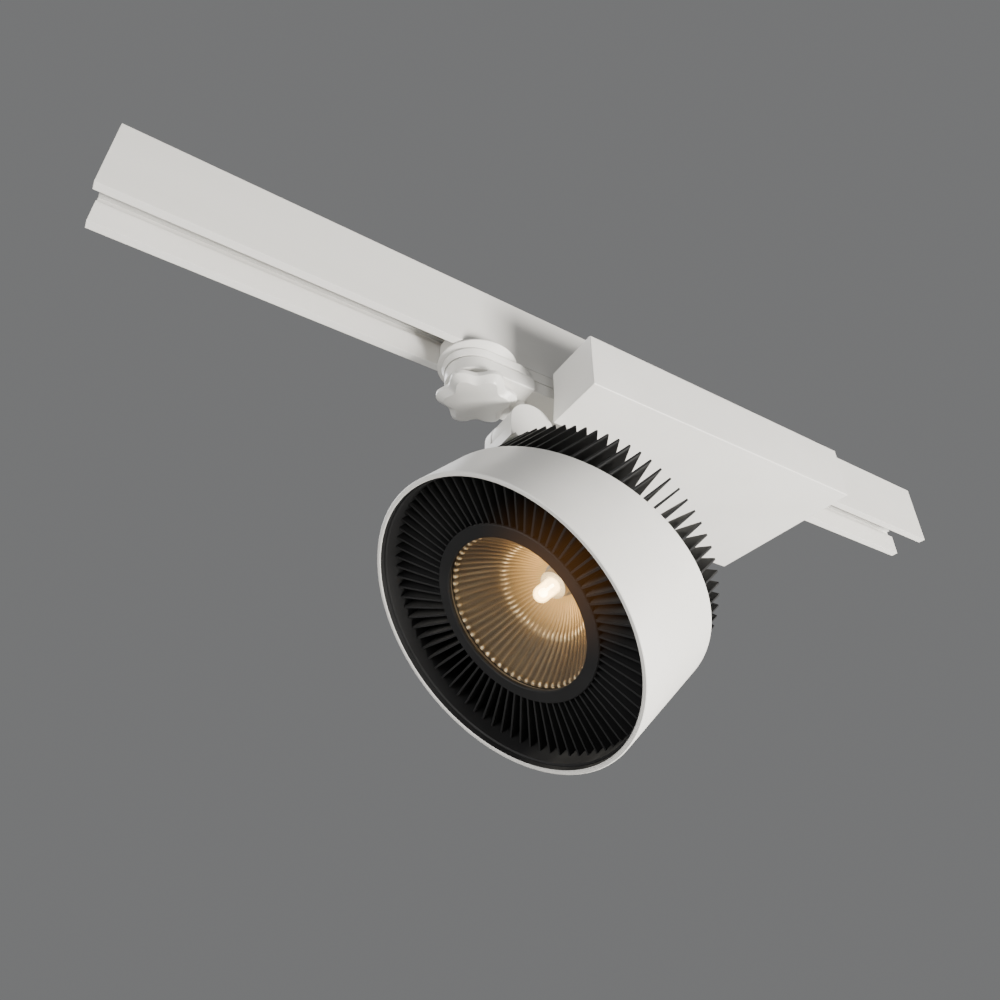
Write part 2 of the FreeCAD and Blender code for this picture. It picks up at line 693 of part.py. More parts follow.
def set_screw_tool(r0, r1):
    """Radial rod through a valley on the knob's far side."""
    angle = math.radians(KNOB_PHASE + SET_SCREW_TURN)
    direction = V(math.cos(angle), math.sin(angle), 0)
    start = V(KNOB_X, 0, SET_SCREW_Z) + direction * r0
    return Part.makeCylinder(SET_SCREW_R, r1 - r0, start, direction)


def knob_spindle():
    """Shaft from the knob up through the adapter, with a thinner head in the track."""
    shaft = rod(KNOB_X, 0, KNOB_BORE_BOTTOM, WING_BOTTOM, SPINDLE_D / 2)
    return shaft.fuse(rod(KNOB_X, 0, WING_BOTTOM, ROTOR_TOP, SPINDLE_HEAD_R))


def locking_wing():
    """Cross bar that turns under the track's lips to hold the carriage up."""
    bar = box(KNOB_X - WING_WIDTH / 2, KNOB_X + WING_WIDTH / 2, -WING_HALF, WING_HALF,
              WING_BOTTOM, ROTOR_BOTTOM)
    ends = [e for e in bar.Edges if e.BoundBox.ZLength > WING_THICK - 0.1]
    return bar.makeFillet(WING_CORNER_R, ends).cut(rod(KNOB_X, 0, WING_BOTTOM, ROTOR_BOTTOM, SPINDLE_HEAD_R))


def finger_tool(side, level, grow):
    y0, y1 = sorted((side * FINGER_ROOT, side * (FINGER_REACH + grow)))
    return box(KNOB_X - FINGER_HALF, KNOB_X + FINGER_HALF, y0, y1,
               level - FINGER_HALF_THICK, level + FINGER_HALF_THICK)


def contact_rotor():
    body = rod(KNOB_X, 0, ROTOR_BOTTOM, ROTOR_TOP, ROTOR_R)
    tools = [rod(KNOB_X, 0, ROTOR_BOTTOM, ROTOR_TOP, SPINDLE_HEAD_R)]
    for side in (-1, 1):
        for level in CONDUCTOR_LEVELS:
            tools.append(finger_tool(side, level, 1.0))
    return cut(body, tools)


def contact_fingers():
    return group([finger_tool(side, level, 0.0)
                  for side in (-1, 1) for level in CONDUCTOR_LEVELS])


def knob_set_screw():
    return set_screw_tool(SPINDLE_D / 2, SPINDLE_D / 2 + SET_SCREW_L)


# ---------------------------------------------------------------- pan swivel
KNUCKLE_TOP = TILT_Z + KNUCKLE_R
STEM_TOP = NECK_BOTTOM - NECK_GAP
ROOT_DROP = 3.0
ROOT_RISE = 1.4
WASHER_GAP = 0.1


def pan_stem():
    """Turning stem under the neck, with the round knuckle that the head tilts on."""
    stem = rod(PAN_X, 0, TILT_Z, STEM_TOP, STEM_R)
    low = KNUCKLE_TOP - ROOT_DROP
    high = KNUCKLE_TOP + ROOT_RISE
    root = turned([(0, low), (KNUCKLE_HALF, low), (STEM_R, high), (0, high)], PAN_X)
    knuckle = pin_y(PAN_X, TILT_Z, -KNUCKLE_HALF, KNUCKLE_HALF, KNUCKLE_R)
    body = fuse([stem, root, knuckle])
    return cut(body, [pin_y(PAN_X, TILT_Z, -KNUCKLE_HALF, KNUCKLE_HALF, TILT_BUSH_D / 2),
                      rod(PAN_X, 0, STEM_TOP - PAN_THREAD_L, STEM_TOP, PAN_THREAD_D / 2)])


def tilt_bush():
    """Bronze sleeve in the knuckle."""
    sleeve = pin_y(PAN_X, TILT_Z, -KNUCKLE_HALF, KNUCKLE_HALF, TILT_BUSH_D / 2)
    return sleeve.cut(pin_y(PAN_X, TILT_Z, -KNUCKLE_HALF, KNUCKLE_HALF, TILT_BOLT_D / 2 + FIT))


def pan_bolt():
    """Shouldered bolt: the shoulder runs in the bush, the thread is in the stem."""
    head_bottom = PLATE_BOTTOM + PAN_WASHER_T
    head = hex_prism(PAN_X, 0, head_bottom, head_bottom + PAN_HEAD_H, PAN_HEAD_FLATS)
    shoulder = rod(PAN_X, 0, STEM_TOP, head_bottom, PAN_BOLT_D / 2)
    thread = rod(PAN_X, 0, STEM_TOP - PAN_THREAD_L, STEM_TOP, PAN_THREAD_D / 2)
    return fuse([head, shoulder, thread])


def pan_washer():
    """Washer under the bolt's head; its tab meets the stop pin at the end of the turn."""
    top = PLATE_BOTTOM + PAN_WASHER_T
    disc = rod(PAN_X, 0, PLATE_BOTTOM + WASHER_GAP, top, PAN_WASHER_R)
    tab = box(PAN_X, PAN_X + STOP_RADIUS + STOP_TAB_LAP, -STOP_TAB_HALF, STOP_TAB_HALF,
              PLATE_BOTTOM + WASHER_GAP, top)
    return disc.fuse(tab).removeSplitter().cut(rod(PAN_X, 0, PLATE_BOTTOM, top, PAN_BOLT_D / 2))


# ---------------------------------------------------------------- lamp head
ARM_FRONT = FIN_BACK + 1.2
ARM_BACK = ARM_FRONT + ARM_THICK
ARM_SCREWS = [(-9, 9), (-9, -9), (9, 9), (9, -9)]
ARM_SCREW_R = 2.0
ARM_SCREW_REACH = 6.0
ARM_SCREW_HEAD = 3.5
ARM_SCREW_HEAD_H = 3.6
ARM_SEAT_R = 3.8
ARM_SEAT_LEVEL = ARM_BACK - 4.2
ARM_DRIVE_FLATS = 3.0
ARM_DRIVE_DEPTH = 2.2
BOSS_R = 18.0
CHEEK_IN = KNUCKLE_HALF + CHEEK_GAP
TILT_HOLE_END = -YOKE_HALF + 3.0
TILT_SHANK_END = TILT_HOLE_END + 0.6
TILT_HEAD_SINK = 0.4
TILT_HEAD_PLAY = 0.1
TILT_DRIVE_FLATS = 5.0
TILT_DRIVE_DEPTH = 2.4
WEB_DROP = 14.8
THROAT_DROP = 5.5


def hinge_rod(y0, y1, radius):
    return pin_y(-HINGE_OFFSET, HINGE_DEPTH, y0, y1, radius)


def tilt_yoke():
    """Round-topped fork round the knuckle, and the arm to the middle of the heat sink."""
    arm = box(-HINGE_OFFSET, 0, -ARM_HALF, ARM_HALF, ARM_FRONT, ARM_BACK)
    pad = rod(0, 0, ARM_FRONT, ARM_BACK, ARM_HALF)
    body = fuse([hinge_rod(-YOKE_HALF, YOKE_HALF, YOKE_R), arm, pad, corner_web()])
    tools = [hinge_rod(-CHEEK_IN, CHEEK_IN, KNUCKLE_R + CHEEK_GAP), throat_tool(),
             hinge_rod(TILT_HOLE_END, YOKE_HALF, TILT_BOLT_D / 2),
             hinge_rod(YOKE_HALF - TILT_HEAD_H, YOKE_HALF, TILT_HEAD_D / 2)]
    for x, y in ARM_SCREWS:
        tools.append(rod(x, y, ARM_FRONT, ARM_BACK, ARM_SCREW_R))
        tools.append(rod(x, y, ARM_SEAT_LEVEL, ARM_BACK, ARM_SEAT_R))
    return cut(body, tools)


def upright(left, down):
    """Point of the head's frame that lies left of and below the hinge at rest."""
    angle = math.radians(HEAD_TILT)
    return (-HINGE_OFFSET - left * math.cos(angle) + down * math.sin(angle),
            HINGE_DEPTH - left * math.sin(angle) - down * math.cos(angle))


def hinge_prism(points, half):
    corners = [V(x, -half, z) for x, z in points]
    return Part.Face(Part.makePolygon(corners + corners[:1])).extrude(V(0, 2 * half, 0))


def corner_web():
    """Squares off the fork on the side away from the housing, down past the fins' edge."""
    foot = upright(YOKE_R, WEB_DROP)
    points = [(-HINGE_OFFSET, HINGE_DEPTH), upright(YOKE_R, 0), foot, (foot[0], ARM_FRONT),
              (-HINGE_OFFSET + YOKE_R, ARM_FRONT)]
    return hinge_prism(points, YOKE_HALF)


def throat_tool():
    """Everything between the cheeks that is above the web, for the stem's swing."""
    reach = 2 * YOKE_R
    points = [upright(reach, THROAT_DROP), upright(reach, -reach),
              upright(-reach, -reach), upright(-reach, THROAT_DROP)]
    return hinge_prism(points, CHEEK_IN)


def tilt_bolt():
    """Shouldered bolt from the far side, blind in the near cheek."""
    shank = hinge_rod(TILT_SHANK_END, YOKE_HALF - TILT_HEAD_H, TILT_BOLT_D / 2)
    face = YOKE_HALF - TILT_HEAD_SINK
    head = hinge_rod(YOKE_HALF - TILT_HEAD_H, face, TILT_HEAD_D / 2 - TILT_HEAD_PLAY)
    drive = hex_prism(0, 0, 0, TILT_DRIVE_DEPTH, TILT_DRIVE_FLATS)
    drive.rotate(V(0, 0, 0), V(1, 0, 0), -90)
    drive.translate(V(-HINGE_OFFSET, face - TILT_DRIVE_DEPTH, HINGE_DEPTH))
    return shank.fuse(head).cut(drive)


def arm_screws():
    top = ARM_SEAT_LEVEL + ARM_SCREW_HEAD_H
    screws = []
    for x, y in ARM_SCREWS:
        shank = rod(x, y, FIN_BACK - ARM_SCREW_REACH, ARM_SEAT_LEVEL, ARM_SCREW_R)
        head = rod(x, y, ARM_SEAT_LEVEL, top, ARM_SCREW_HEAD)
        drive = hex_prism(x, y, top - ARM_DRIVE_DEPTH, top, ARM_DRIVE_FLATS)
        screws.append(shank.fuse(head).cut(drive))
    return group(screws)


def ring_back_cutter(offset):
    """Half space behind the ring's slanted back edge."""
    size = 3 * RING_R
    slope = math.degrees(math.atan2(RING_BACK_SLANT, RING_R))
    block = Part.makeBox(2 * size, 2 * size, size, V(-size, -size, 0))
    block.rotate(V(0, 0, 0), ACROSS, -slope)
    block.translate(V(0, 0, RING_BACK + offset))
    return block


def ring_shell():
    """White ring: flat front lip, thin wall, back edge cut on a slant."""
    profile = [(LINER_R, RING_EDGE), (LINER_R + RING_EDGE, 0), (RING_R - RING_EDGE, 0),
               (RING_R, RING_EDGE), (RING_R, FIN_BACK), (LINER_R, FIN_BACK)]
    return turned(profile).cut(ring_back_cutter(0))


def ring_liner():
    """Black sleeve inside the ring, which the fins' ends bear on."""
    profile = [(LINER_IN_R, LINER_START + LINER_EDGE), (LINER_IN_R + LINER_EDGE, LINER_START),
               (LINER_R, LINER_START), (LINER_R, FIN_BACK), (LINER_IN_R, FIN_BACK)]
    return turned(profile).cut(ring_back_cutter(-LINER_SETBACK))


def fin(k):
    root = CORE_R - FIN_ROOT_LAP
    outline = [(root, FIN_FRONT_INNER), (RING_R, FIN_FRONT_OUTER), (RING_R, FIN_BACK),
               (root, FIN_BACK)]
    corners = [V(x, -FIN_THICK / 2, z) for x, z in outline]
    plate = Part.Face(Part.makePolygon(corners + corners[:1])).extrude(V(0, FIN_THICK, 0))
    plate.rotate(V(0, 0, 0), UP, k * 360 / FIN_COUNT)
    return plate


def heat_sink():
    """Cast core with a ring of thin radial fins, closed by a floor behind the lamp."""
    core = turned([(CORE_INNER_R, GLASS_FRONT), (CORE_R, GLASS_FRONT),
                   (CORE_R, FIN_BACK), (BOSS_R, FIN_BACK), (BOSS_R, ARM_FRONT), (0, ARM_FRONT),
                   (0, FIN_BACK - CORE_FLOOR), (CORE_INNER_R, FIN_BACK - CORE_FLOOR)])
    fins = [fin(k) for k in range(FIN_COUNT)]
    body = core.multiFuse(fins)
    body = body.common(rod(0, 0, 0, ARM_FRONT, LINER_IN_R))
    tools = [rod(0, 0, 0, GLASS_FRONT, COLLAR_R + COLLAR_SEAT_PLAY)]
    for x, y in ARM_SCREWS:
        tools.append(rod(x, y, FIN_BACK - ARM_SCREW_REACH, ARM_FRONT, ARM_SCREW_R))
    return cut(body, tools + collar_pin_rods())


def collar_pin_rods():
    """Three pins from the collar's back into the core's rim."""
    rods = []
    for k in range(COLLAR_PINS):
        angle = math.radians(COLLAR_PIN_START + k * 360 / COLLAR_PINS)
        x = COLLAR_PIN_CIRCLE * math.cos(angle)
        y = COLLAR_PIN_CIRCLE * math.sin(angle)
        rods.append(rod(x, y, GLASS_FRONT - COLLAR_PIN_FRONT, GLASS_FRONT + COLLAR_PIN_BACK,
                        COLLAR_PIN_R))
    return rods


def collar():
    """Flat black bezel that holds the front glass, pinned from behind."""
    body = turned([(COLLAR_HOLE_R, COLLAR_FACE + COLLAR_EDGE),
                   (COLLAR_HOLE_R + COLLAR_EDGE, COLLAR_FACE),
                   (COLLAR_R - COLLAR_EDGE, COLLAR_FACE), (COLLAR_R, COLLAR_FACE + COLLAR_EDGE),
                   (COLLAR_R, GLASS_FRONT), (COLLAR_HOLE_R, GLASS_FRONT)])
    return cut(body, collar_pin_rods())


def collar_pins():
    return group(collar_pin_rods())


def front_glass():
    return rod(0, 0, GLASS_FRONT, REFLECTOR_START, GLASS_R)


def glass_gasket():
    return tube(0, 0, GLASS_FRONT, REFLECTOR_START, CORE_INNER_R, GLASS_R)


def reflector_radius(depth):
    """Paraboloid that narrows from the mouth to the throat."""
    share = 1 - depth / REFLECTOR_DEPTH
    squared = REFLECTOR_THROAT_R ** 2 + share * (REFLECTOR_MOUTH_R ** 2 - REFLECTOR_THROAT_R ** 2)
    return math.sqrt(squared)


def reflector():
    inner = []
    outer = []
    for k in range(REFLECTOR_STEPS + 1):
        depth = REFLECTOR_DEPTH * k / REFLECTOR_STEPS
        radius = reflector_radius(depth)
        inner.append(V(radius - REFLECTOR_WALL, 0, REFLECTOR_START + depth))
        outer.append(V(radius, 0, REFLECTOR_START + depth))
    curves = []
    for points in (inner, outer):
        spline = Part.BSplineCurve()
        spline.interpolate(points)
        curves.append(spline.toShape())
    ends = [Part.makeLine(inner[0], outer[0]), Part.makeLine(inner[-1], outer[-1])]
    wire = Part.Wire(Part.__sortEdges__(curves + ends))
    return Part.Face(wire).revolve(V(0, 0, 0), UP, 360)


LAMP_R = 5.6
LAMP_LENGTH = 17.5
LAMP_WALL = 0.9
BURNER_R = 3.0
BURNER_LEG_R = 1.0
BURNER_SETBACK = 1.5
LAMP_BASE_R = 9.5
LAMP_BASE_FRONT = REFLECTOR_START + REFLECTOR_DEPTH - 8.0
LAMP_BASE_BACK = FLOOR_DEPTH - 8.0
LAMP_PIN_R = 1.2
LAMP_PIN_Y = (-5.0, 5.0)
HOLDER_R = 15.0
HOLDER_LEVEL = FLOOR_DEPTH + 4.0
HOLDER_PLATE_HALF = 14.0
HOLDER_PLATE_T = 2.0
HOLDER_POST_X = (-45.0, 45.0)
HOLDER_POST_R = 4.0
HOLDER_STUD_R = 2.0


def lamp_envelope():
    """Clear capsule of the lamp: a straight tube with a domed tip."""
    dome = LAMP_BASE_FRONT - LAMP_LENGTH + LAMP_R
    inner = LAMP_R - LAMP_WALL
    outside = rod(0, 0, dome, LAMP_BASE_FRONT, LAMP_R).fuse(Part.makeSphere(LAMP_R, V(0, 0, dome)))
    hollow = rod(0, 0, dome, LAMP_BASE_FRONT, inner).fuse(Part.makeSphere(inner, V(0, 0, dome)))
    return outside.cut(hollow).removeSplitter()


def lamp_burner():
    """Ceramic arc tube on its leg."""
    mid = LAMP_BASE_FRONT - LAMP_LENGTH + LAMP_R + BURNER_SETBACK
    leg = rod(0, 0, mid, LAMP_BASE_FRONT, BURNER_LEG_R)
    return Part.makeSphere(BURNER_R, V(0, 0, mid)).fuse(leg)


def lamp_pins():
    return [rod(0, y, LAMP_BASE_BACK, FLOOR_DEPTH, LAMP_PIN_R) for y in LAMP_PIN_Y]


def lamp_base():
    """Ceramic base of the lamp with its two contact pins."""
    return fuse([rod(0, 0, LAMP_BASE_FRONT, LAMP_BASE_BACK, LAMP_BASE_R)] + lamp_pins())


def lamp_holder():
    """Ceramic socket behind the lamp's base."""
    return cut(rod(0, 0, LAMP_BASE_BACK, HOLDER_LEVEL, HOLDER_R), lamp_pins())


def holder_studs():
    return [rod(x, 0, HOLDER_LEVEL, HOLDER_LEVEL + HOLDER_PLATE_T, HOLDER_STUD_R)
            for x in HOLDER_POST_X]


def holder_plate():
    """Steel cross plate that carries the lamp holder inside the core."""
    half = math.sqrt(CORE_INNER_R ** 2 - HOLDER_PLATE_HALF ** 2)
    plate = box(-half, half, -HOLDER_PLATE_HALF, HOLDER_PLATE_HALF, HOLDER_LEVEL,
                HOLDER_LEVEL + HOLDER_PLATE_T)
    return cut(plate, holder_studs())


def holder_posts():
    back = FIN_BACK - CORE_FLOOR
    posts = []
    for x, stud in zip(HOLDER_POST_X, holder_studs()):
        post = rod(x, 0, HOLDER_LEVEL + HOLDER_PLATE_T, back, HOLDER_POST_R)
        posts.append(post.fuse(stud))
    return group(posts)


# ---------------------------------------------------------------- the assembly
FIXED_NODES = {
    "track_profile": track_profile,
    "insulator_near": lambda: insulator(-1),
    "insulator_far": lambda: insulator(1),
    "conductor_near_upper": lambda: conductor(-1, CONDUCTOR_LEVELS[0]),
    "conductor_near_lower": lambda: conductor(-1, CONDUCTOR_LEVELS[1]),
    "conductor_far_upper": lambda: conductor(1, CONDUCTOR_LEVELS[0]),
    "conductor_far_lower": lambda: conductor(1, CONDUCTOR_LEVELS[1]),
    "adapter_spine": adapter_spine,
    "base_disc": base_disc,
    "base_plate": base_plate,
    "neck_bar": neck_bar,
    "adapter_screws": adapter_screws,
    "neck_screws": neck_screws,
    "pan_bush": pan_bush,
    "pan_stop_pin": stop_pin,
    "detent_spring": detent_spring,
    "detent_ball": detent_ball,
    "housing_tray": housing_tray,
    "housing_lid": housing_lid,
    "lid_screws": lid_screws,
    "control_board": control_board,
    "board_posts": board_posts,
    "board_screws": board_screws,
    "board_parts": board_parts,
    "choke_block": choke_block,
    "capacitor_can": capacitor_can,
    "igniter": igniter,
    "terminal_block": terminal_block,
    "locking_knob": locking_knob,
    "knob_spindle": knob_spindle,
    "locking_wing": locking_wing,
    "contact_rotor": contact_rotor,
    "contact_fingers": contact_fingers,
    "knob_set_screw": knob_set_screw,
    "pan_stem": pan_stem,
    "tilt_bush": tilt_bush,
    "pan_bolt": pan_bolt,
    "pan_washer": pan_washer,
}

HEAD_NODES = {
    "tilt_yoke": tilt_yoke,
    "tilt_bolt": tilt_bolt,
    "arm_screws": arm_screws,
    "ring_shell": ring_shell,
    "ring_liner": ring_liner,
    "heat_sink": heat_sink,
    "collar": collar,
    "collar_pins": collar_pins,
    "front_glass": front_glass,
    "glass_gasket": glass_gasket,
    "reflector": reflector,
    "lamp_envelope": lamp_envelope,
    "lamp_burner": lamp_burner,
    "lamp_base": lamp_base,
    "lamp_holder": lamp_holder,
    "holder_plate": holder_plate,
    "holder_posts": holder_posts,
}


def main():
    os.makedirs("parts", exist_ok=True)
    for name, build in FIXED_NODES.items():
        build().exportStep("parts/" + name + ".step")
    for name, build in HEAD_NODES.items():
        tilted(build()).exportStep("parts/" + name + ".step")


main()
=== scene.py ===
"""Finish for the track spotlight: materials, fluted reflector, lit lamp, studio and camera."""

import json
import math

import bpy
from mathutils import Matrix, Vector


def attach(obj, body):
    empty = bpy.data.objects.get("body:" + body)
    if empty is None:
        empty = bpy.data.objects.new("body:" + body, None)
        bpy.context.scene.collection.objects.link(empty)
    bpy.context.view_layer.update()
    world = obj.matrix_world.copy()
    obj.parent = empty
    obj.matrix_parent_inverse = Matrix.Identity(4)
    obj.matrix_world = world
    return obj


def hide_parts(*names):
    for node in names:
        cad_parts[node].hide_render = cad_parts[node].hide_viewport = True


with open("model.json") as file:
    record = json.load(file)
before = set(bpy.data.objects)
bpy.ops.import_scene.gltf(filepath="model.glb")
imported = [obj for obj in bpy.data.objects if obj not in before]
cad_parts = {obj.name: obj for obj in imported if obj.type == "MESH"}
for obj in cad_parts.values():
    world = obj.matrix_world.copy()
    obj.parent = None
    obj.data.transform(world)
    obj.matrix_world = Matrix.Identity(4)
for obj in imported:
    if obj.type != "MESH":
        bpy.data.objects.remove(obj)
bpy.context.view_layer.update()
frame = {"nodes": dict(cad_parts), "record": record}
nodes = frame["nodes"]
record = frame["record"]

# ------------------------------------------------------------------ head's own frame
# Mouth plane at depth 0, depth grows towards the back, hinge on the -X side (metres).
joint_places = {joint["name"]: joint.get("pos_m") for joint in record["behaviour"]["joints"]}
HINGE = Vector(joint_places["head_tilt"])
HINGE_OFFSET = 0.09334
HINGE_DEPTH = 0.11556
HEAD_TILT = math.radians(45.65)
HEAD = (Matrix.Translation(HINGE) @ Matrix.Rotation(HEAD_TILT, 4, "Y")
        @ Matrix.Translation(Vector((HINGE_OFFSET, 0.0, -HINGE_DEPTH))))

LAMP_DEPTH = 0.052
LAMP_PLACE = HEAD @ Vector((0.0, 0.0, LAMP_DEPTH))


# ------------------------------------------------------------------ shader building
def rgb(red, green, blue):
    return (red, green, blue, 1.0)


class Look:
    """A Principled material with a few shorthand ways to add procedural detail."""

    def __init__(self, name):
        self.material = bpy.data.materials.new(name)
        self.material.use_nodes = True
        self.tree = self.material.node_tree
        self.shader = self.tree.nodes["Principled BSDF"]
        self.output = self.tree.nodes["Material Output"]
        self.place = self.add("ShaderNodeTexCoord").outputs["Object"]

    def add(self, kind, **settings):
        made = self.tree.nodes.new(kind)
        for key, value in settings.items():
            setattr(made, key, value)
        return made

    def plug(self, socket, value):
        """Links a value that is a socket; sets any other value."""
        if isinstance(value, bpy.types.NodeSocket):
            self.tree.links.new(value, socket)
        else:
            socket.default_value = value

    def feed(self, made, **values):
        for key, value in values.items():
            self.plug(made.inputs[key.replace("_", " ")], value)
        return made

    def set(self, **values):
        self.feed(self.shader, **values)

    def noise(self, scale, detail=4.0, stretch=(1.0, 1.0, 1.0)):
        mapping = self.feed(self.add("ShaderNodeMapping"), Vector=self.place, Scale=stretch)
        made = self.feed(self.add("ShaderNodeTexNoise"), Vector=mapping.outputs[0],
                         Scale=scale, Detail=detail)
        return made.outputs[0]

    def span(self, source, start, end, low=0.0, high=1.0, curve="LINEAR"):
        """Maps start..end of a value to low..high, clamped."""
        made = self.add("ShaderNodeMapRange", clamp=True, interpolation_type=curve)
        self.feed(made, Value=source, From_Min=start, From_Max=end, To_Min=low, To_Max=high)
        return made.outputs[0]

    def math(self, operation, first, second=0.0):
        made = self.add("ShaderNodeMath", operation=operation)
        self.plug(made.inputs[0], first)
        self.plug(made.inputs[1], second)
        return made.outputs[0]

    def blend(self, factor, first, second):
        made = self.add("ShaderNodeMix", data_type="RGBA")
        for index, value in ((0, factor), (6, first), (7, second)):
            self.plug(made.inputs[index], value)
        return made.outputs[2]

    def dot(self, first, second):
        made = self.add("ShaderNodeVectorMath", operation="DOT_PRODUCT")
        self.plug(made.inputs[0], first)
        self.plug(made.inputs[1], second)
        return made.outputs["Value"]

    def bump(self, height, distance, normal=None):
        made = self.feed(self.add("ShaderNodeBump"), Height=height, Distance=distance,
                         Strength=1.0)
        if normal is not None:
            self.feed(made, Normal=normal)
        return made.outputs[0]

    def soft_edges(self, radius):
        """Normal that rounds every edge a little, and a mask that is 1 on those edges."""
        rounded = self.feed(self.add("ShaderNodeBevel", samples=4), Radius=radius).outputs[0]
        face = self.add("ShaderNodeNewGeometry").outputs["Normal"]
        return rounded, self.span(self.dot(rounded, face), 0.995, 0.93)

    def upward(self):
        """1 on faces that look up, where dust settles."""
        face = self.add("ShaderNodeNewGeometry").outputs["Normal"]
        parts = self.feed(self.add("ShaderNodeSeparateXYZ"), Vector=face)
        return self.span(parts.outputs["Z"], 0.55, 0.95)

    def gap_to(self, point):
        gap = self.add("ShaderNodeVectorMath", operation="DISTANCE")
        self.plug(gap.inputs[0], self.place)
        self.plug(gap.inputs[1], point)
        return gap.outputs["Value"]

    def near(self, point, inner, outer, high):
        """high within the inner distance of a point, falling to 0 at the outer distance."""
        share = self.span(self.gap_to(point), outer, inner)
        return self.math("MULTIPLY", self.math("POWER", share, NEAR_FALL), high)


NEAR_FALL = 2.2

# Noise scales, per metre.
SHEEN_SCALE = 11.0
SMUDGE_SCALE = 21.0
DUST_SCALE = 45.0
WAVE_SCALE = 70.0
RUB_SCALE = 160.0
SCRATCH_SCALE = 900.0
PEEL_SCALE = 1500.0

DUST = rgb(0.46, 0.44, 0.40)
BRIGHT_STEEL = rgb(0.85, 0.85, 0.84)

# Painted lamp light: an orange emission glow painted on the dark coat beside the mouth.
GLOW_PLACE = Vector((-0.0879, -0.0417, -0.2404))
GLOW_REACH = 0.055
GLOW_COLOUR = rgb(1.0, 0.42, 0.12)


def coat(name, pale, deep, rough, edge=None, rub=0.35, peel=0.00003, wave=0.00006,
         stretch=(1.0, 1.0, 1.0), metal=0.0, clear=0.0, radius=0.0006, shine=0.5, glow=0.0):
    """Paint, moulded plastic or a dark coat: uneven tone and sheen, orange peel, worn edges, and
    with glow a painted lamp glow near the mouth.
    """
    look = Look(name)
    tone = look.span(look.noise(SMUDGE_SCALE, 5.0, stretch), 0.35, 0.7)
    colour = look.blend(tone, deep, pale)
    settled = look.span(look.noise(DUST_SCALE, 6.0), 0.3, 0.75, 0.1, 0.5)
    dust = look.math("MULTIPLY", look.upward(), settled)
    colour = look.blend(dust, colour, DUST)
    rounded, edges = look.soft_edges(radius)
    if edge is not None:
        rubbed = look.span(look.noise(RUB_SCALE, 5.0), 0.45, 0.62, 0.0, rub)
        colour = look.blend(look.math("MULTIPLY", edges, rubbed), colour, edge)
    sheen = look.span(look.noise(SHEEN_SCALE, 6.0), 0.3, 0.7, rough - 0.05, rough + 0.09)
    sheen = look.math("ADD", sheen, look.math("MULTIPLY", dust, 0.5))
    grain = look.bump(look.noise(PEEL_SCALE, 2.0, stretch), peel, rounded)
    look.set(Base_Color=colour, Roughness=sheen, Metallic=metal, Coat_Weight=clear,
             Coat_Roughness=0.18, Specular_IOR_Level=shine,
             Normal=look.bump(look.noise(WAVE_SCALE, 3.0, stretch), wave, grain))
    # Painted lamp light: emission on the coat near the mouth, fading out by GLOW_REACH.
    if glow:
        lit = look.span(look.gap_to(GLOW_PLACE), GLOW_REACH, 0.0, 0.0, glow, "SMOOTHSTEP")
        look.set(Emission_Color=GLOW_COLOUR, Emission_Strength=lit)
    return look.material


def bare_metal(name, pale, deep, rough, scratch=(1.0, 1.0, 14.0), radius=0.0002):
    """Fine scratches along one direction, patchy sheen, bright edges."""
    look = Look(name)
    tone = look.span(look.noise(60.0, 6.0), 0.35, 0.7)
    rounded, edges = look.soft_edges(radius)
    colour = look.blend(tone, deep, pale)
    colour = look.blend(look.math("MULTIPLY", edges, 0.4), colour, BRIGHT_STEEL)
    lines = look.noise(SCRATCH_SCALE, 3.0, scratch)
    look.set(Base_Color=colour, Metallic=1.0,
             Roughness=look.span(lines, 0.3, 0.7, rough - 0.08, rough + 0.12),
             Normal=look.bump(lines, 0.00002, rounded))
    return look.material


def clear_glass(name, tint, shine, glow=0.0):
    """Thin clear glass: light passes straight through, with a soft smudged reflection."""
    look = Look(name)
    smear = look.span(look.noise(30.0, 5.0), 0.35, 0.75)
    through = look.feed(look.add("ShaderNodeBsdfTransparent"), Color=tint)
    gloss = look.feed(look.add("ShaderNodeBsdfAnisotropic"), Color=rgb(1.0, 1.0, 1.0),
                      Roughness=look.span(smear, 0.0, 1.0, 0.02, 0.12))
    face = look.add("ShaderNodeNewGeometry")
    square_on = look.math("ABSOLUTE", look.dot(face.outputs["Normal"], face.outputs["Incoming"]))
    slant = look.math("POWER", look.math("SUBTRACT", 1.0, square_on), 5.0)
    film = look.math("ADD", look.math("MULTIPLY", slant, shine),
                     look.span(smear, 0.0, 1.0, 0.03, 0.05))
    mixed = look.feed(look.add("ShaderNodeMixShader"), Fac=film)
    look.plug(mixed.inputs[1], through.outputs[0])
    look.plug(mixed.inputs[2], gloss.outputs[0])
    surface = mixed.outputs[0]
    if glow:
        light = look.feed(look.add("ShaderNodeEmission"), Color=rgb(1.0, 0.66, 0.27),
                          Strength=look.span(smear, 0.0, 1.0, glow, glow * 1.2))
        total = look.add("ShaderNodeAddShader")
        look.plug(total.inputs[0], surface)
        look.plug(total.inputs[1], light.outputs[0])
        surface = total.outputs[0]
    look.plug(look.output.inputs["Surface"], surface)
    return look.material


def arc_tube(name, strength):
    """The lit arc tube: hotter in patches."""
    look = Look(name)
    heat = look.span(look.noise(320.0, 3.0), 0.3, 0.7)
    light = look.feed(look.add("ShaderNodeEmission"),
                      Color=look.blend(heat, rgb(1.0, 0.62, 0.30), rgb(1.0, 0.84, 0.62)),
                      Strength=look.span(heat, 0.0, 1.0, strength * 0.8, strength * 1.2))
    look.plug(look.output.inputs["Surface"], light.outputs[0])
    return look.material


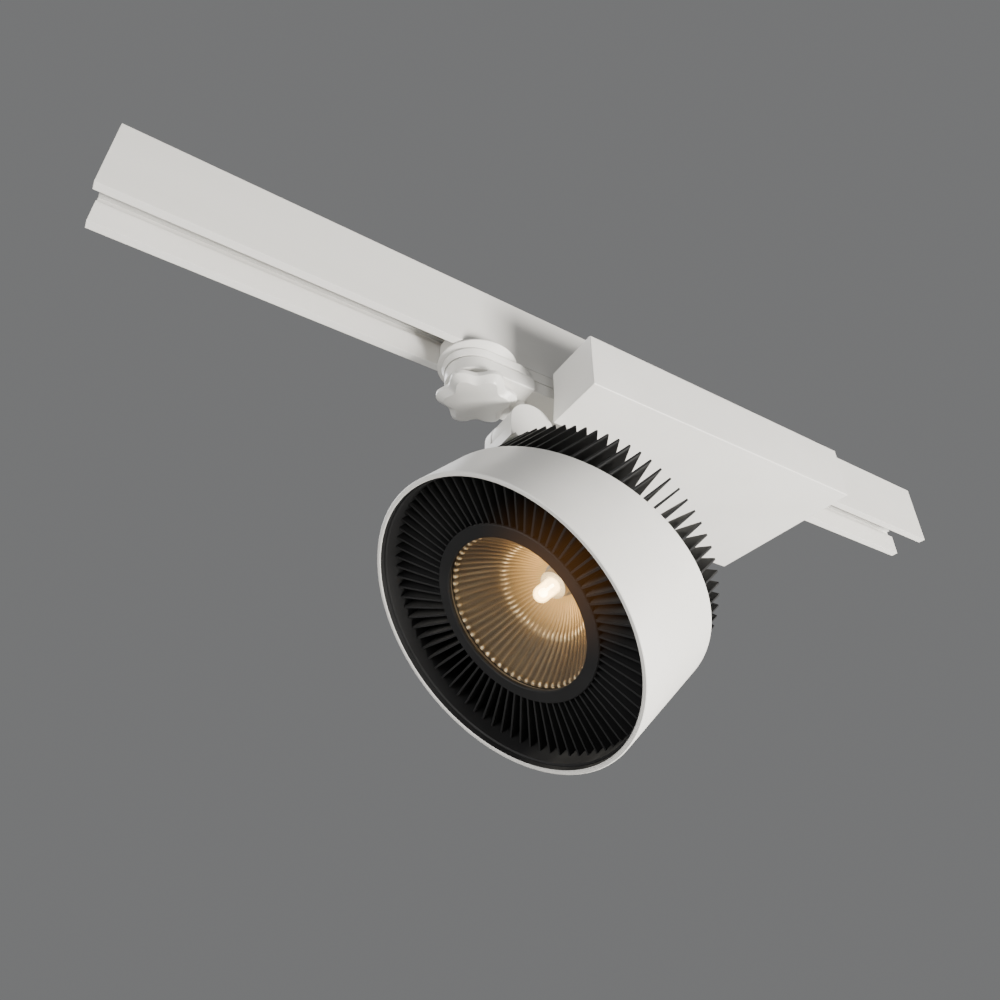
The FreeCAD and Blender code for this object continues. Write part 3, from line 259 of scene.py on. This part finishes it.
def anodised(name):
    """Champagne anodised sheet with painted light: painted highlight on the rib tops, painted shade
    in the grooves between ribs, painted sparkle on the rim and the step, and a painted orange glow
    near the lamp.
    """
    look = Look(name)
    rib = look.add("ShaderNodeAttribute", attribute_name="rib").outputs["Fac"]
    painted_glint = look.add("ShaderNodeAttribute", attribute_name="painted_glint").outputs["Fac"]
    tone = look.span(look.noise(35.0, 5.0), 0.3, 0.7)
    # Painted shade and highlight: the grooves between ribs are coloured darker and the rib tops
    # paler, by rib height.
    painted_valley_shade = look.blend(tone, rgb(0.115, 0.078, 0.040), rgb(0.155, 0.108, 0.058))
    painted_crest_highlight = look.blend(tone, rgb(0.27, 0.193, 0.105), rgb(0.345, 0.25, 0.142))
    colour = look.blend(look.math("POWER", rib, 1.2), painted_valley_shade, painted_crest_highlight)
    # Painted highlights: paler colour and emission on the rib ends at the rim and the inner step,
    # stronger near the lamp.
    patches = look.span(look.noise(420.0, 3.0), 0.4, 0.62, 0.35, 1.0)
    bright = look.math("MULTIPLY", painted_glint, patches)
    colour = look.blend(bright, colour, rgb(0.95, 0.86, 0.68))
    # Painted lamp light: the sheet is made to glow orange close to the lamp, fading outwards.
    painted_lamp_glow = look.near(LAMP_PLACE, 0.004, 0.040, 3.6)
    catch = look.span(look.near(LAMP_PLACE, 0.02, 0.05, 1.0), 0.0, 0.6, 0.5, 1.5)
    look.set(Base_Color=colour, Metallic=0.6,
             Roughness=look.span(look.noise(55.0, 5.0), 0.3, 0.7, 0.34, 0.46),
             Normal=look.bump(look.noise(500.0, 4.0), 0.00001),
             Emission_Color=look.blend(bright, rgb(1.0, 0.52, 0.14), rgb(1.0, 0.80, 0.50)),
             Emission_Strength=look.math("ADD", painted_lamp_glow, look.math("MULTIPLY", bright, catch)))
    return look.material


# ------------------------------------------------------------------ the record's slots
WHITE = rgb(0.80, 0.79, 0.765)
WHITE_DEEP = rgb(0.755, 0.745, 0.715)
EDGE_PALE = rgb(0.90, 0.89, 0.87)
ALONG = (0.06, 1.0, 1.0)
BURNER_GLOW = 16.0
ENVELOPE_GLOW = 2.6

LOOKS = {
    "track_paint": coat("track paint", WHITE, WHITE_DEEP, 0.36, EDGE_PALE, stretch=ALONG,
                        radius=0.0005),
    "insulator_plastic": coat("insulator", rgb(0.60, 0.60, 0.58), rgb(0.54, 0.54, 0.52), 0.5,
                              stretch=ALONG),
    "copper": bare_metal("copper strip", rgb(0.83, 0.45, 0.28), rgb(0.60, 0.30, 0.18), 0.3,
                         (0.05, 1.0, 1.0)),
    "adapter_plastic": coat("adapter plastic", rgb(0.79, 0.78, 0.75), rgb(0.75, 0.74, 0.705),
                            0.33, EDGE_PALE, clear=0.15, radius=0.0008),
    "knob_plastic": coat("knob plastic", rgb(0.81, 0.80, 0.77), rgb(0.74, 0.73, 0.695), 0.34,
                         EDGE_PALE, clear=0.2, radius=0.0012, wave=0.0002),
    "screw_steel": bare_metal("zinc-plated steel", rgb(0.66, 0.66, 0.65),
                              rgb(0.50, 0.50, 0.49), 0.32),
    "spring_steel": bare_metal("plain steel", rgb(0.62, 0.62, 0.61), rgb(0.45, 0.45, 0.44), 0.38),
    "bush_brass": bare_metal("bronze", rgb(0.80, 0.60, 0.31), rgb(0.60, 0.42, 0.20), 0.3),
    "housing_paint": coat("housing", WHITE, rgb(0.765, 0.755, 0.73), 0.34, EDGE_PALE, clear=0.12,
                          peel=0.00004, radius=0.0009),
    "board": coat("circuit board", rgb(0.05, 0.22, 0.09), rgb(0.03, 0.15, 0.06), 0.35, clear=0.3),
    "electronics": coat("dark moulding", rgb(0.05, 0.05, 0.055), rgb(0.03, 0.03, 0.032), 0.5),
    "choke_iron": coat("iron laminations", rgb(0.16, 0.16, 0.18), rgb(0.09, 0.09, 0.10), 0.45,
                       stretch=(8.0, 1.0, 1.0), metal=0.5),
    "can_aluminium": bare_metal("capacitor can", rgb(0.78, 0.78, 0.78), rgb(0.62, 0.62, 0.62),
                                0.34),
    "ring_paint": coat("ring powder coat", WHITE, WHITE_DEEP, 0.34, EDGE_PALE, peel=0.00005,
                       radius=0.0004),
    # The black coat carries a painted orange lamp glow beside the mouth.
    "black_paint": coat("matt black coat, painted lamp glow", rgb(0.020, 0.020, 0.021), rgb(0.013, 0.013, 0.0135),
                        0.6, rgb(0.045, 0.045, 0.045), rub=0.4, peel=0.00005, radius=0.0003,
                        shine=0.28, glow=0.075),
    "gasket_rubber": coat("pale edge seal", rgb(0.46, 0.37, 0.25), rgb(0.36, 0.28, 0.19), 0.5),
    "ceramic": coat("ceramic", rgb(0.78, 0.75, 0.69), rgb(0.70, 0.67, 0.60), 0.4, clear=0.2),
    "front_glass": clear_glass("front glass", rgb(0.97, 0.98, 0.97), 0.8),
    "lamp_glass": clear_glass("lamp glass", rgb(1.0, 0.97, 0.92), 0.9, ENVELOPE_GLOW),
    "reflector": anodised("champagne reflector"),
}


def dress(piece, material):
    piece.data.materials.clear()
    piece.data.materials.append(material)


for entry in record["subparts"]:
    dress(nodes[entry["node"]], LOOKS[entry["material_slot"]])
dress(nodes["lamp_burner"], arc_tube("arc tube, lit", BURNER_GLOW))

# The ring is white outside and on its lip; its inner wall is black behind the lip.
RING_WALL_MIDDLE = 0.0963
RING_LIP = 0.0008


def blacken_ring_wall():
    mesh = nodes["ring_shell"].data
    mesh.materials.append(LOOKS["black_paint"])
    into_head = HEAD.inverted()
    for polygon in mesh.polygons:
        middle = into_head @ polygon.center
        facing = into_head.to_3x3() @ polygon.normal
        inside = middle.xy.length < RING_WALL_MIDDLE and facing.xy.dot(middle.xy) < 0.0
        if inside and middle.z > RING_LIP:
            polygon.material_index = 1


blacken_ring_wall()

# ------------------------------------------------------------------ fluted reflector
# The same paraboloid as the CAD sheet; the flutes stand in from it. A share runs from 0 at the
# mouth to 1 at the throat, and a turn from 0 to 1 once round.
REFLECTOR_START = 0.0217
REFLECTOR_DEPTH = 0.044
MOUTH_R = 0.052
THROAT_R = 0.013
SHEET = 0.0012
FLUTES = 60
STEPS_PER_FLUTE = 8
AROUND = FLUTES * STEPS_PER_FLUTE
ROWS = 72
RIM_SHARE = 0.04
STEP_SHARE = 0.58
STEP_SPAN = 0.035
FLUTE = 0.0012
LOW_RIB = 0.35
STEP_CUT = 0.45
LEDGE = 0.55
# How far the painted sparkle reaches from the rim and from the inner step, in shares.
GLINT_RIM = 0.05
GLINT_STEP = 0.055
SHARP_ANGLE = math.radians(28)


def bowl_radius(share):
    squared = THROAT_R ** 2 + (1.0 - share) * (MOUTH_R ** 2 - THROAT_R ** 2)
    return math.sqrt(squared)


def rib_height(turn):
    return 1.0 - abs(math.sin(math.pi * turn * FLUTES))


def flute_rise(share, turn):
    """How far a rib stands in from the sheet: a bead at the rim, long ribs, a step inside."""
    rib = rib_height(turn)
    if share < RIM_SHARE:
        return FLUTE * rib * (LOW_RIB + (1.0 - LOW_RIB) * math.sin(math.pi * share / RIM_SHARE))
    if share < STEP_SHARE:
        return FLUTE * rib * (LOW_RIB + (1.0 - LOW_RIB) * share)
    into = min(1.0, (share - STEP_SHARE) / STEP_SPAN)
    ledge = LEDGE * into * (1.0 - share) / (1.0 - STEP_SHARE)
    return FLUTE * (rib * (1.0 - STEP_CUT * into) + ledge)


def painted_glint_at(share, turn):
    """Painted sparkle: 1 on the rib ends that would face the lamp, at the rim and at the inner
    step, where the sheet is paled and made to glow.
    """
    painted_crest_highlight = min(1.0, max(0.0, (rib_height(turn) - 0.25) / 0.45))
    rim = max(0.0, 1.0 - share / GLINT_RIM)
    step = max(0.0, 1.0 - abs(share - STEP_SHARE - STEP_SPAN) / GLINT_STEP)
    return painted_crest_highlight * max(rim, step)


def sheet_points():
    """Rows of points on the fluted inner side, then on the plain outer side, with their rib heights
    and painted sparkle strengths.
    """
    points, ribs, painted_glints = [], [], []
    for inner in (True, False):
        for row in range(ROWS + 1):
            share = row / ROWS
            for step in range(AROUND):
                turn = step / AROUND
                radius = bowl_radius(share)
                if inner:
                    radius -= SHEET + flute_rise(share, turn)
                angle = 2 * math.pi * turn
                points.append((radius * math.cos(angle), radius * math.sin(angle),
                               REFLECTOR_START + REFLECTOR_DEPTH * share))
                ribs.append(rib_height(turn))
                painted_glints.append(painted_glint_at(share, turn))
    return points, ribs, painted_glints


def sheet_faces():
    """Both sides, and the bands that close the sheet at the mouth and at the throat."""
    faces = []
    outer = AROUND * (ROWS + 1)
    for step in range(AROUND):
        following = (step + 1) % AROUND
        for row in range(ROWS):
            a = row * AROUND + step
            b = row * AROUND + following
            faces.append((a, a + AROUND, b + AROUND, b))
            faces.append((outer + a, outer + b, outer + b + AROUND, outer + a + AROUND))
        last = ROWS * AROUND
        faces.append((step, following, outer + following, outer + step))
        faces.append((outer + last + step, outer + last + following, last + following, last + step))
    return faces


def fluted_reflector():
    points, ribs, painted_glints = sheet_points()
    mesh = bpy.data.meshes.new("fluted_reflector")
    mesh.from_pydata(points, [], sheet_faces())
    mesh.transform(HEAD)
    for name, values in (("rib", ribs), ("painted_glint", painted_glints)):
        mesh.attributes.new(name, "FLOAT", "POINT").data.foreach_set("value", values)
    mesh.update()
    for polygon in mesh.polygons:
        polygon.use_smooth = True
    mesh.set_sharp_from_angle(angle=SHARP_ANGLE)
    piece = bpy.data.objects.new("fluted_reflector", mesh)
    bpy.context.scene.collection.objects.link(piece)
    return piece


reflector = fluted_reflector()
dress(reflector, LOOKS["reflector"])
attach(reflector, "head")
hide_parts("reflector")

# ------------------------------------------------------------------ studio
FLOOR_LEVEL = -1.35
FLOOR_HALF = 40.0
LIGHTS = (
    # name, place, point it looks at, side length, power, colour
    ("key", (0.78, -1.05, -1.10), (-0.05, 0.0, -0.10), 0.5, 86.0, (1.0, 0.97, 0.915)),
    ("left", (-1.45, -0.35, -0.35), (-0.05, 0.0, -0.12), 0.9, 15.0, (1.0, 0.985, 0.96)),
    ("above", (-0.5, 1.2, 1.1), (0.0, 0.0, -0.12), 1.2, 22.0, (0.97, 0.98, 1.0)),
)
SKY_COLOUR = rgb(0.86, 0.87, 0.88)
SKY_STRENGTH = 0.21


def floor():
    corners = [(-FLOOR_HALF, -FLOOR_HALF), (FLOOR_HALF, -FLOOR_HALF),
               (FLOOR_HALF, FLOOR_HALF), (-FLOOR_HALF, FLOOR_HALF)]
    mesh = bpy.data.meshes.new("floor")
    mesh.from_pydata([(x, y, FLOOR_LEVEL) for x, y in corners], [], [(0, 1, 2, 3)])
    piece = bpy.data.objects.new("floor", mesh)
    bpy.context.scene.collection.objects.link(piece)
    look = Look("floor")
    tone = look.span(look.noise(2.0, 4.0), 0.3, 0.7)
    look.set(Base_Color=look.blend(tone, rgb(0.62, 0.61, 0.59), rgb(0.66, 0.65, 0.63)),
             Roughness=look.span(look.noise(5.0, 5.0), 0.3, 0.7, 0.6, 0.75))
    dress(piece, look.material)
    return piece


def soft_light(name, place, target, side, power, colour):
    data = bpy.data.lights.new(name, "AREA")
    data.shape = "SQUARE"
    data.size = side
    data.energy = power
    data.color = colour
    lamp = bpy.data.objects.new(name, data)
    lamp.location = place
    lamp.rotation_euler = (Vector(target) - Vector(place)).to_track_quat("-Z", "Y").to_euler()
    lamp.visible_camera = False
    bpy.context.scene.collection.objects.link(lamp)


def sky():
    world = bpy.data.worlds.new("studio")
    bpy.context.scene.world = world
    world.use_nodes = True
    background = world.node_tree.nodes["Background"]
    background.inputs["Color"].default_value = SKY_COLOUR
    background.inputs["Strength"].default_value = SKY_STRENGTH


floor()
for light in LIGHTS:
    soft_light(*light)
sky()

# ------------------------------------------------------------------ camera
CAMERA_PLACE = Vector((-0.3115, -0.3611, -0.4473))
CAMERA_AHEAD = Vector((0.4277, 0.7108, 0.5583)).normalized()
CAMERA_ASIDE = Vector((0.8556, -0.5177, 0.0037))
LENS = 28.35
SENSOR = 36.0
CLIP_START = 0.01

camera = bpy.data.objects.new("camera", bpy.data.cameras.new("camera"))
camera.data.lens = LENS
camera.data.sensor_width = SENSOR
camera.data.clip_start = CLIP_START
camera_above = CAMERA_ASIDE.cross(CAMERA_AHEAD).normalized()
aim = Matrix((CAMERA_ASIDE.normalized(), camera_above, -CAMERA_AHEAD)).transposed()
camera.matrix_world = Matrix.Translation(CAMERA_PLACE) @ aim.to_4x4()
bpy.context.scene.collection.objects.link(camera)
bpy.context.scene.camera = camera
